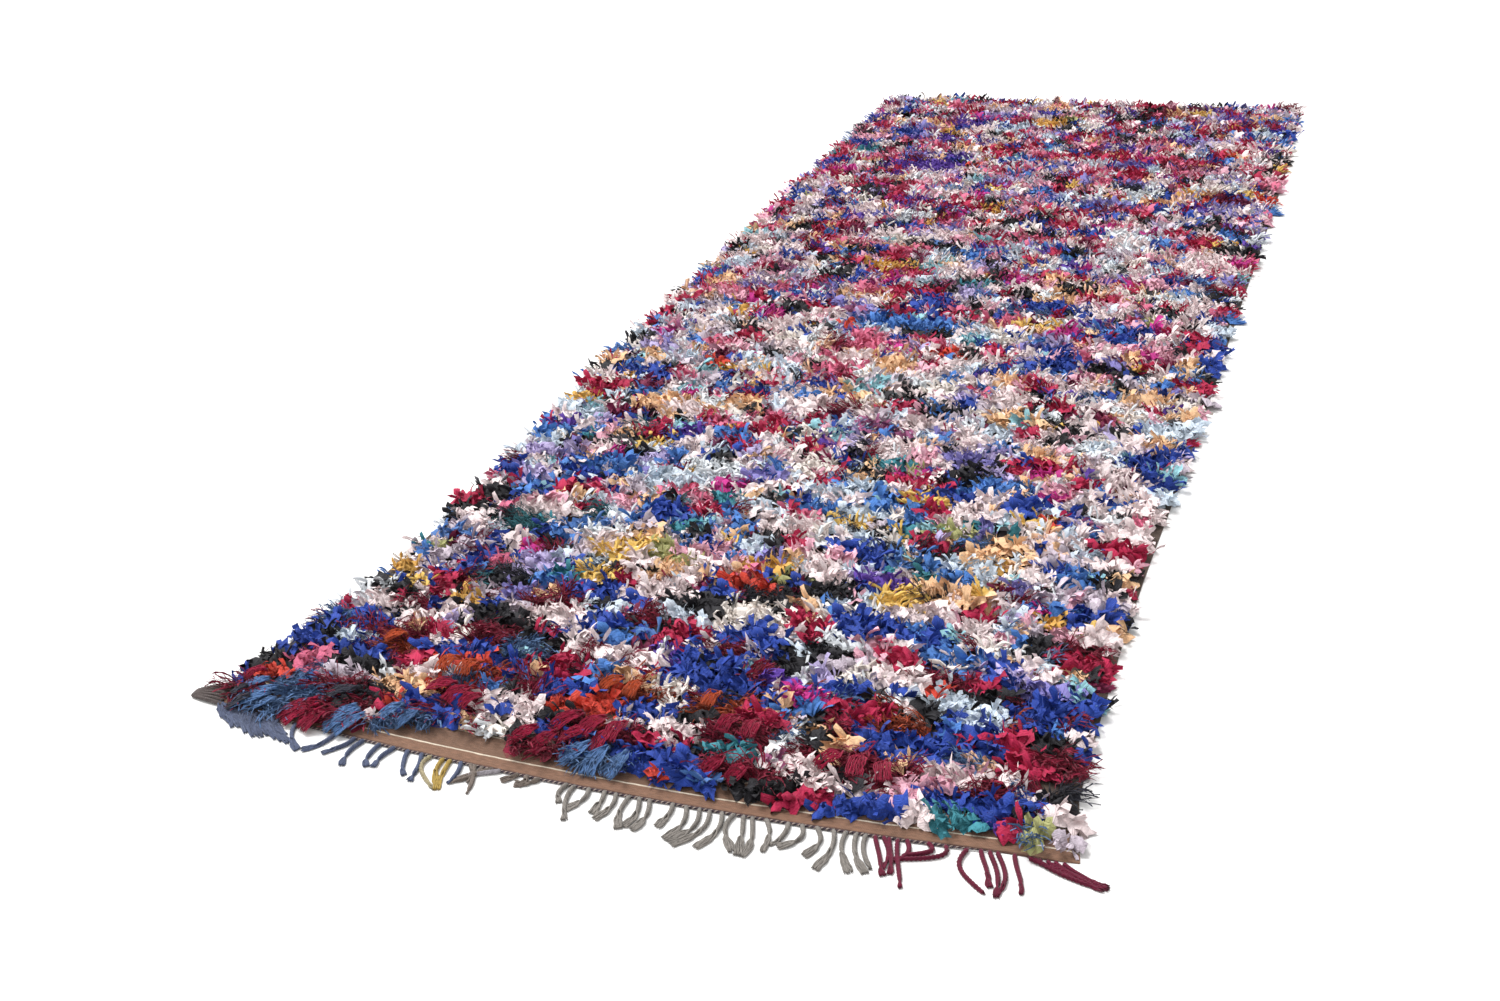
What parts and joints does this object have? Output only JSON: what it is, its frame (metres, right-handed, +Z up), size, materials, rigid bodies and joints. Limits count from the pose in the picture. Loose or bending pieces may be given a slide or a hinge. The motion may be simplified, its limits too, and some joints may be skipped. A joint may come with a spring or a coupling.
{
  "type": "boucherouite rug",
  "caption": "Long shaggy rag rug on a flat-woven wool ground, with mixed rag knots, a plain kilim end, a twined end cord and a warp fringe.",
  "frame": {"origin": "middle of the bounding box, on the floor under the rug", "axes": "+Y runs along the rug from the fringed near end to the far end, +Z is up out of the shag"},
  "size_m": [1.4756, 3.8014, 0.0338],
  "materials": {
    "ground": "weft-faced brown wool, flat-woven",
    "pile": "crumpled cotton, nylon and wool rag strips of mixed colours",
    "twined_edge": "dark twined wool with cream specks",
    "corner_tail": "grey-brown twisted wool",
    "fringe_blue_grey": "blue-grey twisted wool",
    "fringe_gold": "gold twisted wool",
    "fringe_mixed": "grey and brown twisted wool",
    "fringe_grey": "pale grey twisted wool",
    "fringe_burgundy": "burgundy twisted wool"
  },
  "bodies": {
    "root": {"ground": "ground", "pile": "pile", "twined_edge": "twined_edge", "corner_tail": "corner_tail", "fringe_blue_grey": "fringe_blue_grey", "fringe_gold": "fringe_gold", "fringe_mixed": "fringe_mixed", "fringe_grey": "fringe_grey", "fringe_burgundy": "fringe_burgundy"}
  },
  "joints": []
}
